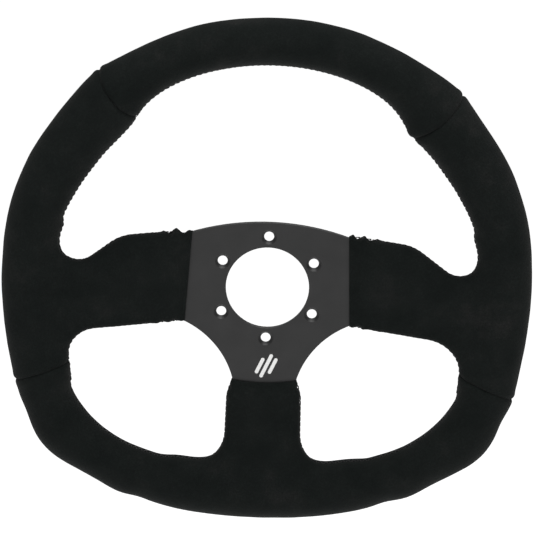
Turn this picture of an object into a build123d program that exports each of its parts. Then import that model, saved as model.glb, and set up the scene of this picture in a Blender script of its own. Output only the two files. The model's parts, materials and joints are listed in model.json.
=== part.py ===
from build123d import *
import math
import os

# Flat three-spoke racing steering wheel: a bare hub plate with a six-bolt pattern, a D-shaped padded
# rim covered in four suede panels, and three spokes sleeved in the same suede.
#
# Frame: origin at the centre of the bolt circle on the plate's rear face, +Z up, +X to the driver's
# right, -Y towards the driver. Outlines are drawn in the XZ plane. All sizes are in millimetres.

os.makedirs("parts", exist_ok=True)

# ---- hub plate -------------------------------------------------------------------------------
PLATE_THICKNESS = 3.0
PLATE_EDGE_CHAMFER = 0.3
BOLT_CIRCLE_RADIUS = 35.0
BOLT_COUNT = 6
BOLT_HOLE_RADIUS = 3.3
COUNTERSINK_RADIUS = 5.1
CENTRE_OPENING_RADIUS = 27.75
PLATE_TOP = 44.8
CROWN_RADIUS = 165.0            # the plate's arched top edge
WAIST_RADIUS = 61.0             # the concave edges between the side arms and the bottom arm
WAIST_CENTRE = (80.4, -80.3)
SIDE_ARM_TOP = [(95.0, 24.0), (118.0, 7.0), (142.0, 4.0)]  # the arm's top edge, out to its tip
BOTTOM_ARM_TIP = 130.5

# ---- hoop and spoke brackets ------------------------------------------------------------------
HOOP_RADIUS = 161.0
HOOP_TUBE_RADIUS = 6.5
HOOP_TUBE_WALL = 1.5
HOOP_ARC_END = -14.0            # degrees below +X where the round of the D turns straight
HOOP_CORNER = (139.3, -106.7)
HOOP_CORNER_RADIUS = 42.0
HOOP_BOTTOM = 148.3
BRACKET_THICKNESS = 2.5
BRACKET_WIDTH = 24.0
BRACKET_REACH = 30.0            # from the hoop tube's inner side towards the hub
RIVET_SHANK_RADIUS = 2.4
RIVET_HEAD_RADIUS = 4.2
RIVET_HEAD_HEIGHT = 1.3
RIVET_SPACING = 14.0
RIVET_INSET = 8.0               # from the arm's tip
SIDE_ARM_MIDDLE = -7.6          # Z of the middle of the side arms' brackets

# ---- rim -------------------------------------------------------------------------------------
MID_PLANE = -0.25               # Y of the rim's and the sleeves' middle
RIM_DEPTH_BASE = 12.0           # the rim's half depth is this plus RIM_DEPTH_GAIN x its half width
RIM_DEPTH_GAIN = 0.22
SUEDE_THICKNESS = 1.3
UPPER_SEAM = 51.0               # degrees above +X
LOWER_SEAM = -26.5
SEAM_TUCK = 3.0                 # seam allowance folded into the foam
SEAM_ALLOWANCE_THICKNESS = 1.0
SEAM_THREAD_RADIUS = 0.4
STITCH_WIDTH = 1.4
STITCH_GAP = 0.3                # how far the stitching stands off the suede's edge

# Stations of the right half of the rim: angle above +X, outer radius, inner radius, all measured
# in planes through the hub axis. The left half is its mirror image.
TOP_STATIONS = [
    (UPPER_SEAM, 181.8, 140.8), (56.0, 180.6, 145.6), (62.0, 180.0, 148.0), (76.0, 179.9, 148.9),
]
TOP_MIDDLE = (90.0, 179.5, 148.8)
SIDE_STATIONS = [
    (LOWER_SEAM, 184.7, 148.2), (-18.0, 180.8, 145.0), (-9.0, 178.3, 143.2), (1.0, 177.3, 142.4),
    (11.0, 178.1, 142.9), (20.0, 179.3, 142.2), (30.0, 179.9, 140.0), (40.0, 180.2, 139.0),
    (46.5, 181.5, 138.8), (UPPER_SEAM, 181.8, 140.8),
]
CORNER_STATIONS = [
    (LOWER_SEAM, 184.7, 148.2), (-31.0, 186.4, 150.8), (-36.5, 189.5, 151.4), (-42.0, 186.9, 150.5),
    (-50.0, 181.4, 146.3), (-60.0, 175.5, 139.4),
]
BOTTOM_STATIONS = [(-60.0, 175.5, 139.4), (-70.0, 170.7, 132.4), (-80.0, 167.1, 131.2)]
BOTTOM_MIDDLE = (-90.0, 166.0, 131.0)

# ---- spoke sleeves -----------------------------------------------------------------------------
SLEEVE_THICKNESS = 13.0
SLEEVE_EDGE_RADIUS = 5.0
SIDE_SLEEVE_END = 54.0          # X where the suede stops and the plate is bare
SIDE_SLEEVE_TOP = 37.4
SIDE_SLEEVE_FOOT = -25.6
SIDE_SHOULDER = (98.0, 31.2)
SIDE_SHOULDER_RADIUS = 35.0
UPPER_CORNER = (159.6, -14.9)   # where the sleeve's top edge and the rim's inner edge would meet
UPPER_CORNER_RADIUS = 14.5
UPPER_CORNER_END = (138.3, 37.1)
GRIP_START = 15.0               # degrees above +X; higher up, the rim's inner edge is clear of the sleeve
LOWER_CORNER = (133.0, -39.0)
LOWER_CORNER_RADIUS = 20.0
LOWER_CORNER_END = (132.6, -66.1)
SIDE_SLEEVE_ROOT = [(150.0, 42.0), (163.0, 0.0), (152.0, -66.1)]   # the sleeve's end inside the rim
BOTTOM_SLEEVE_END = -64.0
BOTTOM_SLEEVE_HALF_WIDTH = 22.3
BOTTOM_SLEEVE_WAIST = (25.2, -77.0)
BOTTOM_CORNER = (27.2, -125.8)
BOTTOM_CORNER_RADIUS = 18.0
BOTTOM_CORNER_END = (50.0, -127.0)     # inside the rim
BOTTOM_EDGE_END = (50.0, -123.8)       # on the rim's inner edge
BOTTOM_SLEEVE_ROOT = -144.3            # Z of the sleeve's end inside the rim

# ---- painted mark ------------------------------------------------------------------------------
MARK_CENTRE = (1.0, -54.5)
MARK_BAR_WIDTH = 2.4
MARK_BAR_LENGTHS = [12.0, 18.0, 12.0]
MARK_PITCH = 4.4
MARK_SLANT = 24.0
MARK_FILM = 0.1

# Distances from the hub axis, along each arm.
HOOP_AT_ARM = {"left": HOOP_RADIUS, "right": HOOP_RADIUS, "bottom": HOOP_BOTTOM}
ARM_TIP = {"left": SIDE_ARM_TOP[-1][0], "right": SIDE_ARM_TOP[-1][0], "bottom": BOTTOM_ARM_TIP}
FAR = 300.0                     # beyond the wheel on every side


# ---- shared helpers ------------------------------------------------------------------------------
def mirrored(point):
    """The same point on the other side of the wheel's centre line."""
    return (-point[0], point[1])


def on_rim(angle, radius):
    """A point of the XZ plane at an angle above +X."""
    turn = math.radians(angle)
    return (radius * math.cos(turn), radius * math.sin(turn))


def slab(outline, front, rear):
    """An outline of the XZ plane made solid between two values of Y, front < rear."""
    return extrude(Plane.XZ.offset(-rear) * outline, rear - front)


def rim_ellipse(station, inset):
    """The rim's section at a station, shrunk all round by an inset."""
    angle, outer, inner = station
    x, z = on_rim(angle, (outer + inner) / 2)
    half_width = (outer - inner) / 2
    half_depth = RIM_DEPTH_BASE + RIM_DEPTH_GAIN * half_width
    turn = math.radians(angle)
    plane = Plane(
        origin=(x, MID_PLANE, z),
        x_dir=(math.cos(turn), 0, math.sin(turn)),
        z_dir=(-math.sin(turn), 0, math.cos(turn)),
    )
    return plane * Ellipse(half_width - inset, half_depth - inset)


def rim_stretch(stations, inset):
    """A stretch of the rim, lofted through its stations."""
    return loft([rim_ellipse(station, inset) for station in stations])


def across(stations, middle):
    """The stations of a stretch that crosses the wheel's centre line."""
    left = [(180.0 - angle, outer, inner) for angle, outer, inner in reversed(stations)]
    return stations + [middle] + left


def rim_body(panel, inset):
    """A panel's length of the rim, shrunk all round by an inset."""
    if panel == "top":
        return rim_stretch(across(TOP_STATIONS, TOP_MIDDLE), inset)
    if panel == "bottom":
        corner = rim_stretch(CORNER_STATIONS, inset)
        middle = rim_stretch(across(BOTTOM_STATIONS, BOTTOM_MIDDLE), inset)
        return corner + middle + mirror(corner, Plane.YZ)
    side = rim_stretch(SIDE_STATIONS, inset)
    return side if panel == "right" else mirror(side, Plane.YZ)


# ---- hub plate -------------------------------------------------------------------------------------
def hub_plate_outline():
    """The plate and its three arms; the arms run on under the sleeves."""
    crown_centre = PLATE_TOP - CROWN_RADIUS
    crown_end = (SIDE_SLEEVE_END, crown_centre + math.sqrt(CROWN_RADIUS**2 - SIDE_SLEEVE_END**2))
    waist_x, waist_z = WAIST_CENTRE
    waist_start = (waist_x, waist_z + WAIST_RADIUS)
    waist_middle = (waist_x - WAIST_RADIUS * math.sqrt(0.5), waist_z + WAIST_RADIUS * math.sqrt(0.5))
    waist_end = (waist_x - WAIST_RADIUS, waist_z)
    arm_edge = [crown_end, *SIDE_ARM_TOP, (SIDE_ARM_TOP[-1][0], waist_start[1]), waist_start]
    foot = (waist_x - WAIST_RADIUS, -BOTTOM_ARM_TIP)
    edges = [
        ThreePointArc(mirrored(crown_end), (0, PLATE_TOP), crown_end),
        Polyline(*arm_edge),
        ThreePointArc(waist_start, waist_middle, waist_end),
        Polyline(waist_end, foot, mirrored(foot), mirrored(waist_end)),
        ThreePointArc(mirrored(waist_end), mirrored(waist_middle), mirrored(waist_start)),
        Polyline(*[mirrored(point) for point in reversed(arm_edge)]),
    ]
    return make_face(edges)


def bolt_places():
    """Centres of the bolt holes; one is straight above the hub axis."""
    return [on_rim(90.0 + 360.0 * k / BOLT_COUNT, BOLT_CIRCLE_RADIUS) for k in range(BOLT_COUNT)]


def hub_plate():
    plate = slab(hub_plate_outline() - Circle(CENTRE_OPENING_RADIUS), -PLATE_THICKNESS, 0)
    front_edges = plate.faces().sort_by(Axis.Y)[0].edges()
    plate = chamfer(front_edges, PLATE_EDGE_CHAMFER)
    sink_depth = COUNTERSINK_RADIUS - BOLT_HOLE_RADIUS
    for x, z in bolt_places():
        hole = Plane((x, 0, z), z_dir=(0, -1, 0))
        plate -= hole * Cylinder(BOLT_HOLE_RADIUS, 3 * PLATE_THICKNESS)
        sink = Cone(BOLT_HOLE_RADIUS, COUNTERSINK_RADIUS, sink_depth)
        plate -= hole.offset(PLATE_THICKNESS - sink_depth / 2) * sink
    for side in ARM_TIP:
        for place in rivet_places(side):
            plate -= slab(Pos(*place) * Circle(RIVET_SHANK_RADIUS), -PLATE_THICKNESS, 0)
    return plate


def centre_mark():
    """Three slanted bars of white paint below the bottom bolt hole."""
    first = -(len(MARK_BAR_LENGTHS) - 1) / 2
    bars = Sketch()
    for k, length in enumerate(MARK_BAR_LENGTHS):
        bar = SlotOverall(length, MARK_BAR_WIDTH, rotation=90 - MARK_SLANT)
        bars += Pos((first + k) * MARK_PITCH, 0) * bar
    mark = Pos(*MARK_CENTRE) * bars
    return slab(mark, -PLATE_THICKNESS - MARK_FILM, -PLATE_THICKNESS)


# ---- hoop, brackets and rivets ---------------------------------------------------------------------
def hoop_half_path():
    """Centre line of the tube's right half: round above, a straight side, a long flat arc below."""
    arc_end = on_rim(HOOP_ARC_END, HOOP_RADIUS)
    edges = [
        CenterArc((0, 0), HOOP_RADIUS, HOOP_ARC_END, 180.0 - 2 * HOOP_ARC_END),
        Line(mirrored(arc_end), mirrored(HOOP_CORNER)),
        ThreePointArc(mirrored(HOOP_CORNER), (0, -HOOP_BOTTOM), HOOP_CORNER),
        Line(HOOP_CORNER, arc_end),
    ]
    outline = make_face(edges)
    outline = fillet(outline.vertices().group_by(Axis.Y)[0], HOOP_CORNER_RADIUS)
    right_half = outline & Pos(HOOP_RADIUS, 0) * Rectangle(2 * HOOP_RADIUS, 4 * HOOP_RADIUS)
    straight_cut = right_half.edges().sort_by(Axis.X)[0]
    return Wire([edge for edge in right_half.edges() if edge != straight_cut])


def hoop_tube(radius):
    path = Plane.XZ.offset(-MID_PLANE) * hoop_half_path()
    section = Plane(origin=path @ 0, z_dir=path % 0) * Circle(radius)
    half = sweep(section, path)
    return half + mirror(half, Plane.YZ)


def arm_point(side, along, across):
    """A point of an arm as (x, z): along it from the hub axis, and across it from its middle line."""
    if side == "bottom":
        return (across, -along)
    return (along if side == "right" else -along, SIDE_ARM_MIDDLE + across)


def rivet_places(side):
    """The two rivets of an arm as (x, z)."""
    reach = ARM_TIP[side] - RIVET_INSET
    return [arm_point(side, reach, step * RIVET_SPACING / 2) for step in (-1, 1)]


def spoke_bracket(side, tube):
    """A steel tab welded to the hoop, behind the arm's tip."""
    outer = HOOP_AT_ARM[side]
    length = HOOP_TUBE_RADIUS + BRACKET_REACH
    size = (BRACKET_WIDTH, length) if side == "bottom" else (length, BRACKET_WIDTH)
    tab = Pos(*arm_point(side, outer - length / 2, 0)) * Rectangle(*size)
    bracket = slab(tab, 0, BRACKET_THICKNESS) - tube
    for place in rivet_places(side):
        bracket -= slab(Pos(*place) * Circle(RIVET_SHANK_RADIUS), 0, BRACKET_THICKNESS)
    return bracket


def spoke_rivets(side):
    """Two round-headed rivets that clamp the arm to its bracket."""
    front = -PLATE_THICKNESS - RIVET_HEAD_HEIGHT
    rear = BRACKET_THICKNESS + RIVET_HEAD_HEIGHT
    rivets = Part()
    for place in rivet_places(side):
        spot = Pos(*place)
        rivets += slab(spot * Circle(RIVET_SHANK_RADIUS), front, rear)
        rivets += slab(spot * Circle(RIVET_HEAD_RADIUS), front, -PLATE_THICKNESS)
        rivets += slab(spot * Circle(RIVET_HEAD_RADIUS), BRACKET_THICKNESS, rear)
    return rivets


# ---- sleeves ---------------------------------------------------------------------------------------
def round_corner(outline, point, radius):
    """Rounds the corner of an outline that lies nearest to a point."""
    corner = outline.vertices().sort_by_distance(Vertex(*point))[0]
    return fillet(corner, radius)


def right_sleeve_outline():
    """The right sleeve seen from the front, flaring into the rim at both corners."""
    outline = make_face(
        Polyline(
            (SIDE_SLEEVE_END, SIDE_SLEEVE_TOP), SIDE_SHOULDER, UPPER_CORNER, UPPER_CORNER_END,
            *SIDE_SLEEVE_ROOT, LOWER_CORNER_END, LOWER_CORNER, (SIDE_SLEEVE_END, SIDE_SLEEVE_FOOT),
            close=True,
        )
    )
    outline = round_corner(outline, SIDE_SHOULDER, SIDE_SHOULDER_RADIUS)
    outline = round_corner(outline, UPPER_CORNER, UPPER_CORNER_RADIUS)
    return round_corner(outline, LOWER_CORNER, LOWER_CORNER_RADIUS)


def bottom_sleeve_outline():
    """The bottom sleeve seen from the front."""
    right = [
        (BOTTOM_SLEEVE_HALF_WIDTH, BOTTOM_SLEEVE_END), BOTTOM_SLEEVE_WAIST, BOTTOM_CORNER,
        BOTTOM_CORNER_END, (BOTTOM_CORNER_END[0], BOTTOM_SLEEVE_ROOT),
    ]
    outline = make_face(Polyline(*right, *[mirrored(p) for p in reversed(right)], close=True))
    outline = round_corner(outline, BOTTOM_CORNER, BOTTOM_CORNER_RADIUS)
    return round_corner(outline, mirrored(BOTTOM_CORNER), BOTTOM_CORNER_RADIUS)


def sleeve_outline(side):
    if side == "bottom":
        return bottom_sleeve_outline()
    outline = right_sleeve_outline()
    return outline if side == "right" else mirror(outline, Plane.YZ)


def sleeve_body(side, inset):
    """A sleeve as one soft-edged slab, shrunk all round by an inset."""
    outline = sleeve_outline(side)
    if inset > 0:
        outline = offset(outline, -inset, kind=Kind.INTERSECTION)
    half = SLEEVE_THICKNESS / 2 - inset
    body = slab(outline, MID_PLANE - half, MID_PLANE + half)
    by_depth = body.faces().sort_by(Axis.Y)
    return fillet(by_depth[0].edges() + by_depth[-1].edges(), SLEEVE_EDGE_RADIUS - inset)


# ---- seams and stitching -------------------------------------------------------------------------
# Each panel's two seams as (seam, +1 if the panel lies on the anticlockwise side of it).
PANEL_SEAMS = {
    "top": [("upper_right", 1), ("upper_left", -1)],
    "right": [("lower_right", 1), ("upper_right", -1)],
    "left": [("upper_left", 1), ("lower_left", -1)],
    "bottom": [("lower_left", 1), ("lower_right", -1)],
}


def seam_station(seam):
    station = SIDE_STATIONS[-1] if seam.startswith("upper") else SIDE_STATIONS[0]
    angle, outer, inner = station
    return (180.0 - angle, outer, inner) if seam.endswith("left") else station


def seam_ring(seam, outer_inset, inner_inset, thickness):
    """A ring round the rim's section at a seam, its thickness towards one side."""
    station = seam_station(seam)
    turn = math.radians(station[0])
    along = Vector(-math.sin(turn), 0, math.cos(turn)) * math.copysign(1, thickness)
    ring = rim_ellipse(station, outer_inset) - rim_ellipse(station, inner_inset)
    return extrude(ring, abs(thickness), dir=along)


def seam_tuck(seam, direction):
    """A panel's seam allowance, turned down into the foam."""
    bite = SUEDE_THICKNESS / 2                  # where the tuck grows out of the panel
    thickness = direction * SEAM_ALLOWANCE_THICKNESS
    return seam_ring(seam, bite, SUEDE_THICKNESS + SEAM_TUCK, thickness)


def panel_seam_thread(seam):
    """The thread that closes a panel seam, half in each allowance."""
    depth = SUEDE_THICKNESS + SEAM_TUCK / 2
    halves = [
        seam_ring(seam, depth - SEAM_THREAD_RADIUS, depth + SEAM_THREAD_RADIUS, side * SEAM_THREAD_RADIUS)
        for side in (1, -1)
    ]
    return halves[0] + halves[1]


def inner_edge(stations, distance):
    """Points inside the rim's inner edge."""
    return [on_rim(angle, inner - distance) for angle, outer, inner in stations]


def sidestep(points, distance):
    """A run of straight edges moved sideways, to its left if the distance is positive."""
    headings = [(Vector(*b) - Vector(*a)).normalized() for a, b in zip(points, points[1:])]
    normals = [heading.rotate(Axis.Z, 90) for heading in headings]
    moved = []
    for point, before, after in zip(points, normals[:1] + normals, normals + normals[-1:]):
        step = (before + after) * (distance / (1 + before.dot(after)))
        moved.append((point[0] + step.X, point[1] + step.Y))
    return moved


def upper_opening(distance):
    """The opening over the side spokes, drawn a distance inside its edge."""
    sleeve_edge = [(SIDE_SLEEVE_END, SIDE_SLEEVE_TOP), SIDE_SHOULDER, UPPER_CORNER, UPPER_CORNER_END]
    hem, shoulder, corner, leave = sidestep(sleeve_edge, distance)
    grip_stations = [station for station in SIDE_STATIONS if station[0] > GRIP_START]
    right_edge = inner_edge(grip_stations + TOP_STATIONS[1:], distance)
    rim_edge = right_edge + inner_edge([TOP_MIDDLE], distance) + [mirrored(p) for p in reversed(right_edge)]
    heading = Vector(*leave) - Vector(*corner)
    outline = make_face([
        Polyline(hem, shoulder, corner, leave),
        Spline(leave, *rim_edge, mirrored(leave), tangents=[heading, Vector(heading.X, -heading.Y)]),
        Polyline(mirrored(leave), mirrored(corner), mirrored(shoulder), mirrored(hem)),
        Line(mirrored(hem), hem),
    ])
    for point, radius in (
        (shoulder, SIDE_SHOULDER_RADIUS + distance),
        (corner, UPPER_CORNER_RADIUS - distance),
    ):
        outline = round_corner(outline, point, radius)
        outline = round_corner(outline, mirrored(point), radius)
    return outline


def lower_right_opening(distance):
    """The opening between the right and bottom spokes, drawn a distance inside its edge."""
    side_edge = [(SIDE_SLEEVE_END, SIDE_SLEEVE_FOOT), LOWER_CORNER, LOWER_CORNER_END]
    foot_edge = [
        BOTTOM_EDGE_END, BOTTOM_CORNER, BOTTOM_SLEEVE_WAIST, (BOTTOM_SLEEVE_HALF_WIDTH, BOTTOM_SLEEVE_END),
    ]
    start, corner, leave = sidestep(side_edge, -distance)
    arrive, foot_corner, waist, hem = sidestep(foot_edge, -distance)
    headings = [Vector(*leave) - Vector(*corner), Vector(*foot_corner) - Vector(*arrive)]
    outline = make_face([
        Polyline(start, corner, leave),
        Spline(leave, *inner_edge(CORNER_STATIONS[1:], distance), arrive, tangents=headings),
        Polyline(arrive, foot_corner, waist, hem),
        Line(hem, start),
    ])
    outline = round_corner(outline, corner, LOWER_CORNER_RADIUS - distance)
    return round_corner(outline, foot_corner, BOTTOM_CORNER_RADIUS - distance)


def stitching(opening):
    """A band of thread just inside an opening's edge, from hem to hem round the suede."""
    bare_plate = Pos(0, BOTTOM_SLEEVE_END / 2) * Rectangle(2 * SIDE_SLEEVE_END, -BOTTOM_SLEEVE_END)
    bare_plate += Pos(0, SIDE_SLEEVE_TOP / 2) * Rectangle(2 * SIDE_SLEEVE_END, 2 * SIDE_SLEEVE_TOP)
    band = opening(STITCH_GAP) - opening(STITCH_GAP + STITCH_WIDTH) - bare_plate
    return slab(band, MID_PLANE - STITCH_WIDTH / 2, MID_PLANE + STITCH_WIDTH / 2)


# ---- the whole wheel -------------------------------------------------------------------------------
pieces = {"hub_plate": hub_plate(), "centre_mark": centre_mark()}

pieces["upper_stitching"] = stitching(upper_opening)
pieces["lower_right_stitching"] = stitching(lower_right_opening)

hoop_outside = hoop_tube(HOOP_TUBE_RADIUS)
pieces["rim_hoop"] = hoop_outside - hoop_tube(HOOP_TUBE_RADIUS - HOOP_TUBE_WALL)
for side in ARM_TIP:
    pieces["spoke_bracket_" + side] = spoke_bracket(side, hoop_outside)
    pieces["spoke_rivets_" + side] = spoke_rivets(side)

for seam in ("upper_left", "upper_right", "lower_left", "lower_right"):
    pieces["panel_seam_thread_" + seam] = panel_seam_thread(seam)

seam_threads = [piece for name, piece in pieces.items() if "thread" in name]
hardware = [hoop_outside] + [
    piece for name, piece in pieces.items() if name == "hub_plate" or name.startswith("spoke_")
]

# The foam fills the inside of all four panels round the hoop.
foam_body = {panel: rim_body(panel, SUEDE_THICKNESS) for panel in PANEL_SEAMS}
rim_foam = foam_body["top"] + foam_body["left"] + foam_body["right"] + foam_body["bottom"]
for panel, seams in PANEL_SEAMS.items():
    for seam, direction in seams:
        rim_foam -= seam_tuck(seam, direction)
for piece in hardware:
    rim_foam -= piece
pieces["rim_foam"] = rim_foam

# Each panel of suede is a shell; the two side panels and the bottom one include a spoke's sleeve.
front_half = Pos(0, -FAR / 2, 0) * Box(2 * FAR, FAR, 2 * FAR)
for panel in ("top", "right", "bottom"):
    outside = rim_body(panel, 0)
    inside = foam_body[panel]
    if panel != "top":
        outside += sleeve_body(panel, 0)
        inside += sleeve_body(panel, SUEDE_THICKNESS)
        padding = inside - foam_body[panel] - hardware
        pieces["spoke_pad_" + panel + "_front"] = padding & front_half
        pieces["spoke_pad_" + panel + "_rear"] = padding - front_half
    cover = outside - inside
    for seam, direction in PANEL_SEAMS[panel]:
        cover += seam_tuck(seam, direction)
    pieces[panel + "_cover"] = cover - seam_threads - pieces["hub_plate"]

for name in ("spoke_pad_right_front", "spoke_pad_right_rear", "right_cover", "lower_right_stitching"):
    pieces[name.replace("right", "left")] = mirror(pieces[name], Plane.YZ)

for name, piece in pieces.items():
    export_step(piece, "parts/" + name + ".step")
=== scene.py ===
import bpy
import json
import math
import numpy as np
import openvdb
from mathutils import Matrix, Vector, kdtree, noise
from mathutils.bvhtree import BVHTree


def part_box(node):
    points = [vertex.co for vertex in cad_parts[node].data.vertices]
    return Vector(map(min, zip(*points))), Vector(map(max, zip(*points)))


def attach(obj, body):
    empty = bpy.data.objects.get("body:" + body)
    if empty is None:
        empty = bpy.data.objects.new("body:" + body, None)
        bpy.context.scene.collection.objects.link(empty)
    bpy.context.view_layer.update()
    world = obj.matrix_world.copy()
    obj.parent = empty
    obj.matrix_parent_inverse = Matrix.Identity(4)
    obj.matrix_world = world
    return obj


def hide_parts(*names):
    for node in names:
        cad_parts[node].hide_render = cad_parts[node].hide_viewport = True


# The looks of a suede-covered racing steering wheel: four sewn panels over a foam rim and three
# padded spokes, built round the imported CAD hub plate. Metres, in the CAD frame: the driver is at -Y,
# +Z is up and +X is to the driver's right.

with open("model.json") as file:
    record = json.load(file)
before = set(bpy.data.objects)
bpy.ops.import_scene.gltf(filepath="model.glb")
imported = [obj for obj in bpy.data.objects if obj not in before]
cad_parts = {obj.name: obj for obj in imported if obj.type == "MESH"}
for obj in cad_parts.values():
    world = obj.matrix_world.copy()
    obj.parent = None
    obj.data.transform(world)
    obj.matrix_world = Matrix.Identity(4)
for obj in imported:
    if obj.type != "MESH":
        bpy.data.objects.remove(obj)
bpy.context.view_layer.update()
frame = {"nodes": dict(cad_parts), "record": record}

# ---- sizes -------------------------------------------------------------------------------------
SUEDE = 0.0013
SEAM_GAP = 0.00005              # between two panels where they meet in a seam
MID_PLANE = -0.00025            # Y of the rim's middle
DEPTH_BASE = 0.012              # the rim's half depth is DEPTH_BASE + DEPTH_GAIN x its half width
DEPTH_GAIN = 0.22
RIM_TURN = math.radians(0.8)    # the trimmed rim sits slightly turned on the hub plate
RIM_SHIFT = -0.0006
GRIP_EDGE_BLEND = 0.009         # how softly a spoke flows into the rim

SLEEVE_HALF = 0.0064            # half thickness of a padded spoke near its edges
SLEEVE_CROWN = 0.0012           # and how much fuller it is along its middle
SLEEVE_EDGE = 0.0052            # radius of a spoke's long edges
HEM_SLOPE = 0.0085              # length over which a spoke thins down to the plate
SIDE_HEM = 0.054
BOTTOM_HEM = 0.0645
BOTTOM_HEM_SAG = 0.002          # the bottom hem's middle hangs this much lower than its ends
HEM_RUN_ON = 0.012              # how far the outlines run past the hems before they are cut
PLATE_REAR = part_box("hub_plate")[1].y
PLATE_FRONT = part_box("hub_plate")[0].y
CROWN_SPREAD = 0.012            # how far in from a spoke's edge its crown builds up
SAG_HALF_WIDTH = 0.022          # the bottom hem sags between this far left and right of the middle


def side_sleeve(shoulder, lower_corner, lower_radius):
    """A side sleeve's outline as (distance from the centre line, z, corner radius)."""
    return [
        (SIDE_HEM - HEM_RUN_ON, 0.0386, 0), (*shoulder, 0.030), (0.1596, -0.0149, 0.0145),
        (0.1386, 0.0380, 0), (0.156, 0.046, 0), (0.163, 0.0, 0), (0.158, -0.070, 0),
        (0.1330, -0.0680, 0), (*lower_corner, lower_radius), (SIDE_HEM - HEM_RUN_ON, -0.0232, 0),
    ]


RIGHT_SLEEVE = side_sleeve((0.0960, 0.0314), (0.1315, -0.0358), 0.028)
LEFT_SLEEVE = side_sleeve((0.0990, 0.0318), (0.1335, -0.0350), 0.021)
BOTTOM_SLEEVE_SIDE = [
    (0.0192, HEM_RUN_ON - BOTTOM_HEM, 0), (0.0252, -0.0770, 0.020), (0.0262, -0.1275, 0.025),
    (0.058, -0.1285, 0), (0.058, -0.146, 0),
]
BOTTOM_SLEEVE = BOTTOM_SLEEVE_SIDE + [(-x, z, radius) for x, z, radius in reversed(BOTTOM_SLEEVE_SIDE)]

# Where the covered rim leaves its plain CAD shape: angle round from +X towards +Z, spread in
# degrees, and how many millimetres its outer and its inner edge lie further out there.
RIM_FEATURES = [
    (46, 4, 1.2, 0.0),      # suede gathered at the upper right seam
    (127, 4, 1.0, 0.0),     # and at the upper left one
    (202, 5, 0.0, 1.0),     # the grip thins at the lower left seam
    (336, 5, 1.2, 1.0),     # and moves outwards at the lower right one
    (237, 9, -2.0, 1.5),    # the flanks beside the bottom are flatter
    (303, 9, -2.0, 1.5),
    (270, 30, -1.2, 0.0),   # so is the bottom itself
]

# Panel seams: angle above +X in degrees at the rim's outer edge, its middle and its inner edge.
SEAMS = {
    "lower_right": (-23.9, -23.6, -24.2),
    "upper_right": (46.5, 46.0, 47.8),
    "upper_left": (127.7, 129.0, 127.2),
    "lower_left": (201.8, 201.6, 202.4),
}
SEAM_DIP = 0.0010
SEAM_DIP_WIDTH = 0.0010
SEAM_SWELL = 0.0003
SEAM_SWELL_PLACE = 0.0034       # distance from the seam to the top of the swell beside it
SEAM_SWELL_WIDTH = 0.0024
SEAM_REACH = 0.03               # further from a seam than this, it has no effect
HEM_PUCKER_ABOVE = 0.0018       # the side sleeves' top edges pucker more than the edges below
HEM_PUCKER_BELOW = 0.0007
PUCKER_PITCH = 0.0092
# Soft gathers on the driver's side: seam, distance past it, place across the rim, size, height.
PUFFS = [
    ("upper_left", 0.0058, 0.05, 0.0042, 0.0019), ("upper_left", -0.0066, -0.25, 0.0046, 0.0016),
    ("upper_right", -0.0040, -0.85, 0.0036, 0.0010), ("upper_right", 0.0045, -0.95, 0.0040, 0.0012),
    ("lower_right", 0.0034, -0.25, 0.0034, 0.0009), ("lower_right", -0.0044, -0.10, 0.0040, 0.0006),
    ("lower_left", -0.0040, -0.20, 0.0046, 0.0007),
]
# The panels in the order in which the seams divide them, and the CAD covers they stand for.
PANELS = {
    "bottom_panel": "bottom_cover", "right_panel": "right_cover",
    "top_panel": "top_cover", "left_panel": "left_cover",
}

GRID = 0.0011
PATH_STEP = 0.001
STITCH_PITCH = 0.0038
STITCH_REACH = 0.0017           # a stitch's ends lie this far each side of the edge seam
THREAD_RADIUS = 0.0003
SEAM_THREAD_RADIUS = 0.0004
SEAM_THREAD_DEPTH = 0.0012      # how far under the suede the panel seams' thread runs

OUTSIDE_RIM = 0.25              # radii from which the CAD covers are measured inwards and outwards
INSIDE_RIM = 0.09
CHORD_LEVEL = 0.009             # measured this far behind the middle, clear of the sleeves


# ---- the shape of the wheel ------------------------------------------------------------------------
def rim_outline():
    """The rim's centre radius and half width at each whole degree, from the CAD covers and RIM_FEATURES."""
    points, faces = [], []
    for name in ("top_cover", "left_cover", "right_cover", "bottom_cover"):
        mesh = frame["nodes"][name].data
        first = len(points)
        points += [vertex.co.copy() for vertex in mesh.vertices]
        faces += [[first + k for k in face.vertices] for face in mesh.polygons]
    tree = BVHTree.FromPolygons(points, faces)
    chords = []
    level = Vector((0, MID_PLANE + CHORD_LEVEL, 0))
    for degree in range(360):
        ray = Vector((math.cos(math.radians(degree)), 0, math.sin(math.radians(degree))))
        outside = tree.ray_cast(ray * OUTSIDE_RIM + level, -ray)[0]
        inside = tree.ray_cast(ray * INSIDE_RIM + level, ray)[0]
        chords.append((outside.xz.length, inside.xz.length))
    outer, inner = np.array(chords).T
    half_width = (outer - inner) / 2
    half_chord = half_width.copy()
    for _ in range(12):         # the chord is narrower than the rim; solve for the rim's own width
        half_depth = DEPTH_BASE + DEPTH_GAIN * half_width
        half_width = half_chord / np.sqrt(1 - (CHORD_LEVEL / half_depth) ** 2)
    outside = (outer + inner) / 2 + half_width
    inside = (outer + inner) / 2 - half_width
    for angle, spread, more_outside, more_inside in RIM_FEATURES:
        apart = (np.arange(360) - angle + 180) % 360 - 180
        blend = np.exp(-(apart / spread) ** 2) / 1000
        outside = outside + more_outside * blend
        inside = inside + more_inside * blend
    return smooth_loop((outside + inside) / 2), smooth_loop((outside - inside) / 2)


def smooth_loop(values):
    """A closed run of values with its small facets smoothed out and its first value again at the end."""
    for _ in range(3):
        values = (np.roll(values, 1) + 2 * values + np.roll(values, -1)) / 4
    return np.append(values, values[0])


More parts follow.
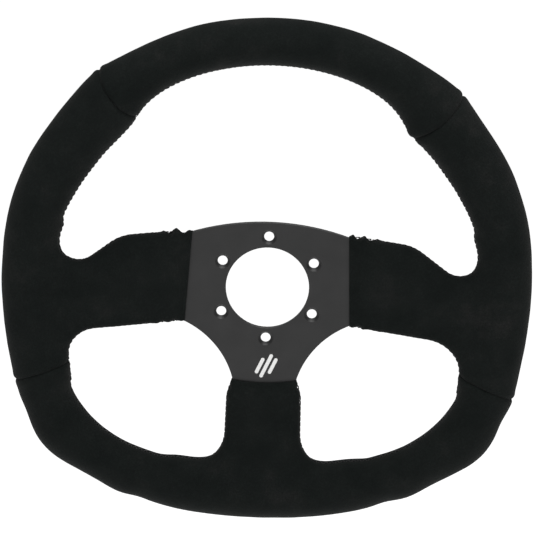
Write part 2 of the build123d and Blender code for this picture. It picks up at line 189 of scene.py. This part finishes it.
def rounded(corners, steps=16):
    """A closed outline as many points, its corners rounded to their radii."""
    outline = []
    for k, (x, z, radius) in enumerate(corners):
        corner = np.array([x, z])
        if radius == 0:
            outline.append(corner)
            continue
        before = np.array(corners[k - 1][:2]) - corner
        after = np.array(corners[(k + 1) % len(corners)][:2]) - corner
        before /= np.linalg.norm(before)
        after /= np.linalg.norm(after)
        half_turn = math.acos(np.clip(before @ after, -1, 1)) / 2
        middle = before + after
        centre = corner + middle / np.linalg.norm(middle) * radius / math.sin(half_turn)
        start = corner + before * radius / math.tan(half_turn) - centre
        end = corner + after * radius / math.tan(half_turn) - centre
        turn = math.pi - 2 * half_turn
        for t in np.linspace(0, 1, steps):
            arm = (start * math.sin((1 - t) * turn) + end * math.sin(t * turn)) / math.sin(turn)
            outline.append(centre + arm)
    return np.array(outline)


def outline_distance(x, z, outline):
    """Signed distance from points of the wheel's plane to an outline, negative inside it."""
    nearest = np.full(x.shape, 1e9)
    inside = np.zeros(x.shape, bool)
    for (ax, az), (bx, bz) in zip(outline, np.roll(outline, -1, axis=0)):
        ex, ez = bx - ax, bz - az
        t = np.clip(((x - ax) * ex + (z - az) * ez) / (ex * ex + ez * ez), 0, 1)
        nearest = np.minimum(nearest, (x - ax - t * ex) ** 2 + (z - az - t * ez) ** 2)
        if az != bz:
            crosses = (az > z) != (bz > z)
            inside ^= crosses & (x < ax + (z - az) * ex / ez)
    return np.where(inside, -1.0, 1.0) * np.sqrt(nearest)


def smoothstep(low, high, value):
    t = np.clip((value - low) / (high - low), 0, 1)
    return t * t * (3 - 2 * t)


def smooth_min(a, b, k):
    h = np.maximum(k - np.abs(a - b), 0) / k
    return np.minimum(a, b) - h * h * k / 4


def distance_table(outline):
    """The signed distance to an outline at each knot of the table's grid."""
    return outline_distance(*np.meshgrid(TABLE_AXIS, TABLE_AXIS, indexing="ij"), outline)


def look_up(table, x, z):
    """The table's values at points, blended between its knots."""
    column = np.clip((x + TABLE_REACH) / TABLE_STEP, 0, len(TABLE_AXIS) - 1.001)
    row = np.clip((z + TABLE_REACH) / TABLE_STEP, 0, len(TABLE_AXIS) - 1.001)
    i, j = column.astype(int), row.astype(int)
    u, v = column - i, row - j
    low = table[i, j] * (1 - u) + table[i + 1, j] * u
    high = table[i, j + 1] * (1 - u) + table[i + 1, j + 1] * u
    return low * (1 - v) + high * v


TABLE_STEP = 0.0005
TABLE_REACH = 0.21
TABLE_AXIS = np.arange(-TABLE_REACH, TABLE_REACH + TABLE_STEP, TABLE_STEP)
CENTRE_RADIUS, HALF_WIDTH = rim_outline()
DEGREES = np.arange(361.0)

# Each spoke: the table of distances to its outline, the way it points from its slightly slanted
# hem, how far out the hem is, and how much the hem sags.
SPOKES = [
    (distance_table(rounded(RIGHT_SLEEVE)), (1, 0.047), SIDE_HEM + 0.0006, 0),
    (distance_table(rounded(LEFT_SLEEVE) * [-1, 1]), (-1, 0.061), SIDE_HEM - 0.0009, 0),
    (distance_table(rounded(BOTTOM_SLEEVE)), (0.013, -1), BOTTOM_HEM, BOTTOM_HEM_SAG),
]


def to_rim(x, z):
    """Points of the wheel's plane in the rim's own, slightly turned, axes."""
    c, s = math.cos(RIM_TURN), math.sin(RIM_TURN)
    x = x - RIM_SHIFT
    return c * x + s * z, -s * x + c * z


def from_rim(x, z):
    """The same the other way round."""
    c, s = math.cos(RIM_TURN), math.sin(RIM_TURN)
    return c * x - s * z + RIM_SHIFT, s * x + c * z


def plan(x, z):
    """All that the shape needs to know about points of the wheel's plane."""
    rim_x, rim_z = to_rim(x, z)
    angle = np.degrees(np.arctan2(rim_z, rim_x)) % 360
    radius = np.hypot(rim_x, rim_z)
    spokes = []
    for table, (way_x, way_z), hem, sag in SPOKES:
        edge = look_up(table, x, z)
        past_hem = way_x * x + way_z * z - hem - sag * (1 - np.clip(x / SAG_HALF_WIDTH, -1, 1) ** 2)
        rise = smoothstep(0, HEM_SLOPE, past_hem)
        crown = SLEEVE_CROWN * (1 - np.exp(np.minimum(edge, 0) / CROWN_SPREAD))
        hem_half = (PLATE_REAR - PLATE_FRONT) / 2 + SUEDE + SEAM_GAP
        half = hem_half + (SLEEVE_HALF + crown - hem_half) * rise
        middle = (PLATE_REAR + PLATE_FRONT) / 2 * (1 - rise) + MID_PLANE * rise
        spokes.append((edge, half, middle, past_hem))
    return {
        "angle": angle, "radius": radius, "spokes": spokes,
        "across": radius - np.interp(angle, DEGREES, CENTRE_RADIUS),
        "half_width": np.interp(angle, DEGREES, HALF_WIDTH),
    }


def rim_field(here, y):
    """Roughly the distance to the rim's surface, negative inside."""
    half_width = here["half_width"]
    half_depth = DEPTH_BASE + DEPTH_GAIN * half_width
    u, v = here["across"], y - MID_PLANE
    reach = np.hypot(u / half_width, v / half_depth)
    slope = np.hypot(u / half_width**2, v / half_depth**2)
    return reach * (reach - 1) / np.maximum(slope, 1e-6)


def spoke_field(spoke, y):
    """Roughly the distance to a spoke's sleeve, a slab with rounded long edges."""
    edge, half, middle, _ = spoke
    round_off = np.minimum(SLEEVE_EDGE, half * 0.92)
    a = edge + round_off
    b = np.abs(y - middle) - (half - round_off)
    outside = np.hypot(np.maximum(a, 0), np.maximum(b, 0))
    return np.minimum(np.maximum(a, b), 0) + outside - round_off


def skin_field(here, y):
    """The suede's outer surface without its wrinkles: rim and spokes flowing into each other."""
    shape = rim_field(here, y)
    for spoke in here["spokes"]:
        shape = smooth_min(shape, spoke_field(spoke, y), GRIP_EDGE_BLEND)
    return shape


def field_at(points, field):
    return field(plan(points[:, 0], points[:, 2]), points[:, 1])


def slope_at(points, field):
    """The field's gradient, by small differences."""
    step = 0.0003
    slope = np.empty_like(points)
    for axis in range(3):
        shift = np.zeros(3)
        shift[axis] = step
        slope[:, axis] = field_at(points + shift, field) - field_at(points - shift, field)
    return slope / (2 * step)


def onto(points, field, level=0.0, rounds=3):
    """Points moved along the gradient until the field has the given value."""
    for _ in range(rounds):
        slope = slope_at(points, field)
        error = field_at(points, field) - level
        points = points - slope * (error / np.maximum((slope**2).sum(1), 1e-9))[:, None]
    return points


def mesh_of(field, low, high, spacing):
    """Quads round the inside of a field, from a grid of its values."""
    axes = [np.arange(low[k], high[k] + spacing, spacing) for k in range(3)]
    x, z = np.meshgrid(axes[0], axes[2], indexing="ij")
    here = plan(x, z)
    values = np.stack([field(here, y) for y in axes[1]], axis=1).astype(np.float32)
    grid = openvdb.FloatGrid(float(np.abs(values).max()))
    grid.copyFromArray(values)
    points, quads = grid.convertToQuads()
    return points * spacing + np.array(low), quads[:, ::-1]


# ---- seams and wrinkles -----------------------------------------------------------------------------
def seam_offsets(here):
    """For each seam, how far a point lies past it, anticlockwise, in metres."""
    angle = (here["angle"] + 90) % 360 - 90
    t = np.clip(here["across"] / here["half_width"], -1, 1)
    offsets = {}
    for name, (outer, middle, inner) in SEAMS.items():
        at = middle + t * (outer - inner) / 2 + t * t * ((outer + inner) / 2 - middle)
        if name.startswith("lower"):    # inside the rim the dividing line keeps clear of the spokes
            side = 1 if name == "lower_left" else -1
            at = at + side * 400 * np.clip(0.128 - here["radius"], 0, 0.1)
        offsets[name] = np.radians(angle - at) * here["radius"]
    return offsets


def lumps(points, size, seed):
    """Smooth noise between about -1 and 1, with features of a size."""
    offset = Vector((seed * 13.7, seed * 5.1, seed * 9.3))
    return np.array([noise.noise(Vector(p) / size + offset) for p in points])


def seam_relief(points, here, offsets):
    """The suede dips into each seam and swells unevenly beside it, most where it was gathered."""
    relief = np.zeros(len(points))
    uneven = lumps(points, 0.008, 1)
    front = smoothstep(0.004, -0.004, points[:, 1])
    share = here["across"] / here["half_width"]
    for name, offset in offsets.items():
        near = np.abs(offset)
        dip = -SEAM_DIP * np.exp(-(near / SEAM_DIP_WIDTH) ** 2)
        swell = SEAM_SWELL * np.exp(-((near - SEAM_SWELL_PLACE) / SEAM_SWELL_WIDTH) ** 2)
        relief += np.where(near < SEAM_REACH, dip + swell * (1 + 1.1 * uneven), 0)
        for seam, along, across, size, height in PUFFS:
            if seam == name:
                apart = ((offset - along) / size) ** 2 + ((share - across) * 0.018 / size) ** 2
                relief += height * front * np.exp(-apart) * (near < SEAM_REACH)
    return relief


def inner_side(here):
    """1 on the faces towards the wheel's openings, 0 on the rim's outer side."""
    return smoothstep(-0.002, 0.003, -here["across"])


def hem_relief(points, here):
    """The suede puckers along the spokes' edges where it is pulled tight at the hems."""
    relief = np.zeros(len(points))
    rough = lumps(points, 0.0032, 3)
    for edge, _, _, along in here["spokes"]:
        band = np.exp(-((edge + 0.0005) / 0.0032) ** 2)
        near_hem = smoothstep(-0.001, 0.003, along) * (1 - smoothstep(0.013, 0.027, along))
        gather = 0.6 * np.cos(2 * math.pi * (along - 0.0015) / PUCKER_PITCH) + 0.9 * rough
        strength = np.where(points[:, 2] > 0, HEM_PUCKER_ABOVE, HEM_PUCKER_BELOW)
        relief += strength * band * near_hem * gather
    return relief


def edge_relief(points, here, seam_places, seam_tree):
    """A fine groove where the suede's edges are sewn together, dented between the stitches."""
    relief = np.zeros(len(points))
    level = points[:, 1] - MID_PLANE
    close = np.flatnonzero((np.abs(level) < 0.005) & (inner_side(here) > 0))
    for k in close:
        _, index, distance = seam_tree.find(points[k])
        if distance > 0.006:
            continue
        v = abs(level[k])
        groove = -0.0007 * math.exp(-((v / 0.0009) ** 2))
        phase = math.cos(2 * math.pi * seam_places[index] / STITCH_PITCH)
        dent = -0.00022 * (1 - phase) * math.exp(-(((v - 0.002) / 0.0013) ** 2))
        relief[k] = groove + dent
    return relief


# ---- meshes ---------------------------------------------------------------------------------------
def new_object(name, points, faces):
    mesh = bpy.data.meshes.new(name)
    mesh.from_pydata([tuple(p) for p in points], [], [tuple(f) for f in faces])
    mesh.validate()
    mesh.polygons.foreach_set("use_smooth", [True] * len(mesh.polygons))
    made = bpy.data.objects.new(name, mesh)
    bpy.context.scene.collection.objects.link(made)
    return made


def join_parts(parts):
    """Several (points, faces) as one."""
    points, faces, first = [], [], 0
    for part_points, part_faces in parts:
        points.append(part_points)
        faces.append(np.array(part_faces) + first)
        first += len(part_points)
    return np.concatenate(points), np.concatenate(faces)


def tube(path, radius, sides=6, closed=False):
    """A round thread along a path, with closed ends."""
    path = np.array(path)
    ahead = np.roll(path, -1, axis=0) - np.roll(path, 1, axis=0)
    if not closed:
        ahead[0] = path[1] - path[0]
        ahead[-1] = path[-1] - path[-2]
    ahead /= np.linalg.norm(ahead, axis=1)[:, None]
    side = np.cross(ahead, [0.3, 0.2, 0.93])
    side /= np.linalg.norm(side, axis=1)[:, None]
    up = np.cross(side, ahead)
    turns = 2 * math.pi * np.arange(sides) / sides
    swell = np.full(len(path), radius)
    if not closed:
        swell[[0, -1]] = radius * 0.45
    rings = path[:, None] + swell[:, None, None] * (
        side[:, None] * np.cos(turns)[None, :, None] + up[:, None] * np.sin(turns)[None, :, None]
    )
    faces = []
    rows = len(path) if closed else len(path) - 1
    for row in range(rows):
        a, b = row * sides, (row + 1) % len(path) * sides
        faces += [(a + k, a + (k + 1) % sides, b + (k + 1) % sides, b + k) for k in range(sides)]
    points = rings.reshape(-1, 3)
    if not closed:
        points = np.concatenate([points, path[[0, -1]]])
        start, end, last = len(points) - 2, len(points) - 1, (len(path) - 1) * sides
        faces += [(start, (k + 1) % sides, k, start) for k in range(sides)]
        faces += [(end, last + k, last + (k + 1) % sides, end) for k in range(sides)]
    return points, faces


def panel_shells(points, quads):
    """Sorts the skin's faces into panels and moves their borders onto the seams and hems."""
    centres = points[quads].mean(axis=1)
    middle = plan(centres[:, 0], centres[:, 2])
    past = np.array(list(seam_offsets(middle).values()))
    panel = (past > 0).sum(axis=0) % 4
    beyond_hem = np.zeros(len(quads), bool)
    for edge, _, _, along in middle["spokes"]:
        beyond_hem |= (along < 0) & (middle["radius"] < 0.1) & (edge < 0.01)
    keep = ~beyond_hem
    quads, panel = quads[keep], panel[keep]

    # Corners shared by two panels move onto the seam, and those at a hem onto the hem.
    smallest = np.full(len(points), 9)
    largest = np.full(len(points), -1)
    for corner in quads.T:
        np.minimum.at(smallest, corner, panel)
        np.maximum.at(largest, corner, panel)
    on_seam = np.flatnonzero((smallest != largest) & (largest >= 0))
    for _ in range(4):
        points[on_seam] = onto_seam(points[on_seam])
        points[on_seam] = onto(points[on_seam], skin_field, rounds=1)
    edges = np.sort(np.concatenate([quads[:, [k, (k + 1) % 4]] for k in range(4)]), axis=1)
    unique, count = np.unique(edges, axis=0, return_counts=True)
    on_hem = np.unique(unique[count == 1])
    for _ in range(3):
        points[on_hem] = onto_hem(points[on_hem])
        points[on_hem] = onto(points[on_hem], skin_field, rounds=1)
    points[on_hem] = onto_hem(points[on_hem])
    return points, quads, panel, on_hem


def onto_seam(points):
    """Points moved round the rim onto the nearest seam."""
    offsets = np.array(list(seam_offsets(plan(points[:, 0], points[:, 2])).values()))
    nearest = np.abs(offsets).argmin(axis=0)
    offset = offsets[nearest, np.arange(len(points))]
    turn = -offset / np.hypot(points[:, 0] - RIM_SHIFT, points[:, 2])
    x, z = points[:, 0] - RIM_SHIFT, points[:, 2]
    moved = points.copy()
    moved[:, 0] = x * np.cos(turn) - z * np.sin(turn) + RIM_SHIFT
    moved[:, 2] = x * np.sin(turn) + z * np.cos(turn)
    return moved


def onto_hem(points):
    """Points moved along their spoke onto its hem."""
    here = plan(points[:, 0], points[:, 2])
    outward = np.array([way for _, way, _, _ in SPOKES])
    distance = np.array([along for _, _, _, along in here["spokes"]])
    nearest = np.abs(distance).argmin(axis=0)
    step = distance[nearest, np.arange(len(points))]
    moved = points.copy()
    moved[:, [0, 2]] -= outward[nearest] * step[:, None]
    return moved


def shell(outside, inside, quads):
    """A closed sheet between two skins that share their faces."""
    edges = np.concatenate([quads[:, [k, (k + 1) % 4]] for k in range(4)])
    key = np.sort(edges, axis=1)
    _, first, count = np.unique(key, axis=0, return_index=True, return_counts=True)
    border = edges[first[count == 1]]
    used, packed = np.unique(quads, return_inverse=True)
    packed = packed.reshape(quads.shape)
    number = np.full(len(outside), -1)
    number[used] = np.arange(len(used))
    border = number[border]
    size = len(used)
    walls = np.stack([border[:, 1], border[:, 0], border[:, 0] + size, border[:, 1] + size], axis=1)
    points = np.concatenate([outside[used], inside[used]])
    return points, np.concatenate([packed, packed[:, ::-1] + size, walls])


# ---- edge seams of the openings ----------------------------------------------------------------------
def follow_edge(start, heading, finished):
    """Walks along the skin's edge at the middle plane; returns points PATH_STEP apart."""
    place = np.array([[start[0], MID_PLANE, start[1]]])
    ahead = np.array([heading[0], 0, heading[1]])
    path = []
    for _ in range(2000):
        slope = slope_at(place, skin_field)
        slope[:, 1] = 0
        place = place - slope * (field_at(place, skin_field) / (slope**2).sum(1))[:, None]
        path.append(place[0].copy())
        along = np.array([-slope[0, 2], 0, slope[0, 0]])
        along /= np.linalg.norm(along)
        if along @ ahead < 0:
            along = -along
        ahead = along
        if len(path) > 100 and finished(place[0]):
            break
        place = place + along * PATH_STEP
    return np.array(path)


def edge_paths():
    """The edge seam round each opening, from hem to hem."""
    side_in = SIDE_HEM + 0.003
    bottom_in = -(BOTTOM_HEM + 0.003)
    return {
        "upper_edge_stitching": follow_edge(
            (side_in, 0.0372), (1, 0), lambda p: p[0] < 0 and p[0] > -side_in and p[2] < 0.06),
        "lower_right_edge_stitching": follow_edge(
            (side_in, -0.0262), (1, 0), lambda p: p[0] < 0.04 and p[2] > bottom_in),
        "lower_left_edge_stitching": follow_edge(
            (-side_in, -0.0262), (-1, 0), lambda p: p[0] > -0.04 and p[2] > bottom_in),
    }


def stitches(path):
    """Hand stitches along an edge seam: at each one a thread crosses the seam and one crosses back."""
    count = int((len(path) - 1) * PATH_STEP / STITCH_PITCH)
    along = np.linspace(0.06, 0.94, 7)
    across = 2 * along - 1
    knots = np.arange(len(path)) * PATH_STEP
    at = (np.arange(count)[:, None] + along) * STITCH_PITCH
    centre = np.stack([np.interp(at, knots, path[:, axis]) for axis in range(3)], axis=-1)
    threads = []
    for way in (-1, 1):
        places = centre.copy()
        places[..., 1] += way * STITCH_REACH * across
        flat = onto(places.reshape(-1, 3), skin_field)
        slope = slope_at(flat, skin_field)
        lift = THREAD_RADIUS * (0.0 if way > 0 else -0.6) - 0.0009 * across**4
        flat += slope / np.linalg.norm(slope, axis=1)[:, None] * np.tile(lift, count)[:, None]
        threads += [tube(thread, THREAD_RADIUS) for thread in flat.reshape(places.shape)]
    return threads


# ---- materials --------------------------------------------------------------------------------------
def new_material(name):
    material = bpy.data.materials.new(name)
    material.use_nodes = True
    tree = material.node_tree
    return material, tree, tree.nodes["Principled BSDF"]


def add_node(tree, kind, **settings):
    node = tree.nodes.new(kind)
    for key, value in settings.items():
        if key in node.inputs:
            node.inputs[key].default_value = value
        else:
            setattr(node, key, value)
    return node


def noise_node(tree, scale, detail=4.0, roughness=0.55):
    """Noise in the object's own metres."""
    place = add_node(tree, "ShaderNodeTexCoord")
    node = add_node(tree, "ShaderNodeTexNoise", Scale=scale, Detail=detail, Roughness=roughness)
    tree.links.new(place.outputs["Object"], node.inputs["Vector"])
    return node


def ramp_node(tree, source, stops):
    """A colour ramp over a value: (position, colour) pairs."""
    node = tree.nodes.new("ShaderNodeValToRGB")
    elements = node.color_ramp.elements
    while len(elements) < len(stops):
        elements.new(0.5)
    for element, (position, colour) in zip(elements, stops):
        element.position = position
        element.color = (*colour, 1)
    tree.links.new(source, node.inputs["Fac"])
    return node


def multiplied(tree, first, second):
    node = tree.nodes.new("ShaderNodeMix")
    node.data_type = "RGBA"
    node.blend_type = "MULTIPLY"
    node.inputs[0].default_value = 1.0
    tree.links.new(first, node.inputs[6])
    tree.links.new(second, node.inputs[7])
    return node.outputs[2]


def add_bumps(tree, shader, layers):
    """Bump from several heights, each (socket, distance in metres)."""
    previous = None
    for height, distance in layers:
        bump = add_node(tree, "ShaderNodeBump", Strength=1.0, Distance=distance)
        tree.links.new(height, bump.inputs["Height"])
        if previous is not None:
            tree.links.new(previous, bump.inputs["Normal"])
        previous = bump.outputs["Normal"]
    tree.links.new(previous, shader.inputs["Normal"])


def suede_material():
    """Black suede: a soft nap, brushed lighter in clouds, with short pale fibres here and there."""
    material, tree, shader = new_material("black_suede")
    clouds = noise_node(tree, 42, 5, 0.62)
    nap = noise_node(tree, 900, 3, 0.7)
    grain = noise_node(tree, 2600, 2, 0.6)
    cloud_colour = ramp_node(tree, clouds.outputs["Fac"], [
        (0.34, (0.0034, 0.0050, 0.0046)), (0.56, (0.0054, 0.0071, 0.0066)), (0.74, (0.0100, 0.0108, 0.0104)),
    ])
    nap_colour = ramp_node(tree, nap.outputs["Fac"], [
        (0.30, (0.55, 0.57, 0.56)), (0.50, (1.0, 1.0, 1.0)), (0.72, (1.75, 1.68, 1.66)),
    ])
    colour = multiplied(tree, cloud_colour.outputs["Color"], nap_colour.outputs["Color"])
    tree.links.new(colour, shader.inputs["Base Color"])
    rough = ramp_node(tree, nap.outputs["Fac"], [(0.3, (0.84, 0.84, 0.84)), (0.7, (0.97, 0.97, 0.97))])
    tree.links.new(rough.outputs["Color"], shader.inputs["Roughness"])
    shader.inputs["Specular IOR Level"].default_value = 0.12
    shader.inputs["Sheen Weight"].default_value = 0.15
    shader.inputs["Sheen Roughness"].default_value = 0.45
    shader.inputs["Sheen Tint"].default_value = (0.17, 0.16, 0.155, 1)
    add_bumps(tree, shader, [(nap.outputs["Fac"], 0.00035), (grain.outputs["Fac"], 0.00012)])
    return material


def anodised_material():
    """Satin black anodised aluminium over a fine brushed surface."""
    material, tree, shader = new_material("black_anodised_plate")
    place = add_node(tree, "ShaderNodeTexCoord")
    stretch = tree.nodes.new("ShaderNodeMapping")
    stretch.inputs["Scale"].default_value = (160, 160, 2600)
    tree.links.new(place.outputs["Object"], stretch.inputs["Vector"])
    brushed = add_node(tree, "ShaderNodeTexNoise", Scale=1.0, Detail=3.0)
    tree.links.new(stretch.outputs["Vector"], brushed.inputs["Vector"])
    blotches = noise_node(tree, 60, 4)
    colour = ramp_node(tree, blotches.outputs["Fac"], [
        (0.30, (0.0095, 0.0096, 0.0097)), (0.70, (0.0150, 0.0150, 0.0151)),
    ])
    tree.links.new(colour.outputs["Color"], shader.inputs["Base Color"])
    rough = ramp_node(tree, brushed.outputs["Fac"], [(0.2, (0.38, 0.38, 0.38)), (0.8, (0.52, 0.52, 0.52))])
    tree.links.new(rough.outputs["Color"], shader.inputs["Roughness"])
    shader.inputs["Specular IOR Level"].default_value = 0.42
    add_bumps(tree, shader, [(brushed.outputs["Fac"], 0.00002)])
    return material


def grained_material(name, dark, light, rough, scale, bump, metallic=0.0):
    """A plain finish with fine grain: its colour and bump both follow the noise."""
    material, tree, shader = new_material(name)
    grain = noise_node(tree, scale)
    colour = ramp_node(tree, grain.outputs["Fac"], [(0.3, dark), (0.7, light)])
    tree.links.new(colour.outputs["Color"], shader.inputs["Base Color"])
    shader.inputs["Roughness"].default_value = rough
    shader.inputs["Metallic"].default_value = metallic
    add_bumps(tree, shader, [(grain.outputs["Fac"], bump)])
    return material


MATERIALS = {
    "suede": suede_material(),
    "black_anodised": anodised_material(),
    "mark_paint": grained_material(
        "white_screen_print", (0.78, 0.78, 0.77), (0.88, 0.88, 0.87), 0.55, 900, 2e-5),
    "hoop_steel": grained_material(
        "black_painted_steel", (0.02, 0.02, 0.02), (0.04, 0.04, 0.04), 0.45, 400, 4e-5),
    "rivet_metal": grained_material(
        "plain_steel", (0.45, 0.45, 0.45), (0.6, 0.6, 0.6), 0.35, 700, 2e-5, 1.0),
    "rim_foam": grained_material(
        "skinned_foam", (0.02, 0.02, 0.02), (0.035, 0.035, 0.035), 0.8, 500, 2e-4),
    "pad_foam": grained_material(
        "foam_sheet", (0.04, 0.04, 0.04), (0.07, 0.07, 0.07), 0.9, 900, 3e-4),
    "thread": grained_material(
        "waxed_thread", (0.004, 0.004, 0.0042), (0.012, 0.012, 0.012), 0.5, 2600, 1e-4),
}


def finish_piece(piece, slot, *nodes):
    """Paints a new piece, hangs it on the wheel and hides the CAD nodes it stands for."""
    piece.data.materials.clear()
    piece.data.materials.append(MATERIALS[slot])
    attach(piece, "root")
    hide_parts(*nodes)


# ---- suede panels ------------------------------------------------------------------------------------
LOW = (-0.194, -0.0196, -0.178)
HIGH = (0.196, 0.0192, 0.190)

skin, skin_quads = mesh_of(skin_field, LOW, HIGH, GRID)
skin = onto(skin, skin_field)
paths = edge_paths()
skin, skin_quads, panel_of, hem_points = panel_shells(skin, skin_quads)

seam_places = []
seam_tree = kdtree.KDTree(sum(len(path) for path in paths.values()))
for path in paths.values():
    for k, place in enumerate(path):
        seam_tree.insert(place, len(seam_places))
        seam_places.append(k * PATH_STEP)
seam_tree.balance()

here = plan(skin[:, 0], skin[:, 2])
offsets = seam_offsets(here)
slope = slope_at(skin, skin_field)
normal = slope / np.linalg.norm(slope, axis=1)[:, None]
soft = 0.00022 * lumps(skin, 0.024, 4) + 0.00010 * lumps(skin, 0.009, 5)
relief = (
    seam_relief(skin, here, offsets)
    + hem_relief(skin, here)
    + edge_relief(skin, here, seam_places, seam_tree)
)
relief[hem_points] *= 0.3
outer_skin = skin + normal * (soft + relief)[:, None]
inner_skin = skin + normal * (soft + np.minimum(relief, 0) - SUEDE)[:, None]

for number, (name, cover) in enumerate(PANELS.items()):
    points, faces = shell(outer_skin, inner_skin, skin_quads[panel_of == number])
    finish_piece(new_object(name, points, faces), "suede", cover)

# ---- thread ------------------------------------------------------------------------------------------
STITCHED = {
    "upper_edge_stitching": "upper_stitching",
    "lower_right_edge_stitching": "lower_right_stitching",
    "lower_left_edge_stitching": "lower_left_stitching",
}
for name, path in paths.items():
    finish_piece(new_object(name, *join_parts(stitches(path))), "thread", STITCHED[name])

turns = np.linspace(0, 2 * math.pi, 72, endpoint=False)
for name, (_, middle, _) in SEAMS.items():
    angle, index = math.radians(middle), round(middle) % 360
    under = SUEDE + SEAM_THREAD_DEPTH
    radius = CENTRE_RADIUS[index] + (HALF_WIDTH[index] - under) * np.cos(turns)
    half_depth = DEPTH_BASE + DEPTH_GAIN * HALF_WIDTH[index] - under
    x, z = from_rim(radius * math.cos(angle), radius * math.sin(angle))
    ring = onto_seam(np.stack([x, MID_PLANE + half_depth * np.sin(turns), z], axis=1))
    thread = new_object(name + "_seam_thread", *tube(ring, SEAM_THREAD_RADIUS, closed=True))
    finish_piece(thread, "thread", "panel_seam_thread_" + name)

# ---- foam --------------------------------------------------------------------------------------------
FOAM_GAP = SUEDE + 0.0001
foam_points, foam_quads = mesh_of(lambda here, y: rim_field(here, y) + FOAM_GAP, LOW, HIGH, 0.0025)
foam = new_object("rim_foam_core", foam_points, foam_quads)
finish_piece(foam, "rim_foam", "rim_foam")


def pad_field(spoke, front):
    """A spoke's padding on one side of the plate, between the suede and the rim's foam."""
    def field(here, y):
        side = y - PLATE_FRONT + 0.0001 if front else PLATE_REAR + 0.0001 - y
        inside_hem = 0.001 - here["spokes"][spoke][3]
        pad = spoke_field(here["spokes"][spoke], y) + FOAM_GAP
        rim = -(rim_field(here, y) + FOAM_GAP - 0.0002)
        return np.maximum(np.maximum(pad, rim), np.maximum(side, inside_hem))
    return field


for spoke, side in enumerate(("right", "left", "bottom")):
    for face in ("front", "rear"):
        low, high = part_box(f"spoke_pad_{side}_{face}")
        room = Vector((0.006, 0.004, 0.006))
        points, quads = mesh_of(pad_field(spoke, face == "front"), low - room, high + room, 0.0016)
        pad = new_object(f"spoke_padding_{side}_{face}", points, quads)
        finish_piece(pad, "pad_foam", f"spoke_pad_{side}_{face}")

# ---- carried-over CAD nodes ----------------------------------------------------------------------------
for part in frame["record"]["subparts"]:
    node = frame["nodes"][part["node"]]
    if not node.hide_render:
        node.data.materials.clear()
        node.data.materials.append(MATERIALS[part["material_slot"]])

# ---- floor, light and camera ---------------------------------------------------------------------------
FLOOR_REACH = 14
FLOOR_LEVEL = -0.85
corners = [(x * FLOOR_REACH, y * FLOOR_REACH, 0) for x, y in ((-1, -1), (1, -1), (1, 1), (-1, 1))]
floor = new_object("floor", corners, [(0, 1, 2, 3)])
floor.location.z = FLOOR_LEVEL
floor_material, _, floor_shader = new_material("pale_floor")
floor_shader.inputs["Base Color"].default_value = (0.93, 0.93, 0.93, 1)
floor_shader.inputs["Roughness"].default_value = 0.9
floor_shader.inputs["Emission Color"].default_value = (1, 1, 1, 1)
floor_shader.inputs["Emission Strength"].default_value = 0.65
floor.data.materials.append(floor_material)

world = bpy.data.worlds.new("studio")
bpy.context.scene.world = world
world.use_nodes = True
world.node_tree.nodes["Background"].inputs["Color"].default_value = (1, 1, 1, 1)
world.node_tree.nodes["Background"].inputs["Strength"].default_value = 0.40


def area_light(name, place, aim, size, power):
    light = bpy.data.lights.new(name, "AREA")
    light.shape = "SQUARE"
    light.size = size
    light.energy = power
    lamp = bpy.data.objects.new(name, light)
    lamp.location = place
    lamp.rotation_euler = (Vector(aim) - Vector(place)).to_track_quat("-Z", "Y").to_euler()
    bpy.context.scene.collection.objects.link(lamp)


area_light("softbox_above", (0.1, -0.5, 1.5), (0, 0, 0), 1.2, 22)

CAMERA_HEIGHT = math.radians(15.27)
CAMERA_ROLL = math.radians(2.0)
CAMERA_DISTANCE = 1.2
CAMERA_TARGET = Vector((-0.0004, 0, 0.01335))
back = Vector((0, -math.cos(CAMERA_HEIGHT), math.sin(CAMERA_HEIGHT)))
right = Vector((1, 0, 0))
up = back.cross(right)
camera_data = bpy.data.cameras.new("camera")
camera_data.sensor_width = 36
camera_data.lens = 121.3
camera = bpy.data.objects.new("camera", camera_data)
bpy.context.scene.collection.objects.link(camera)
axes = Matrix((right, up, back)).transposed()
camera.matrix_world = Matrix.Translation(CAMERA_TARGET + back * CAMERA_DISTANCE) @ (
    Matrix.Rotation(CAMERA_ROLL, 3, back) @ axes
).to_4x4()
bpy.context.scene.camera = camera
bpy.context.scene.view_settings.view_transform = "Standard"
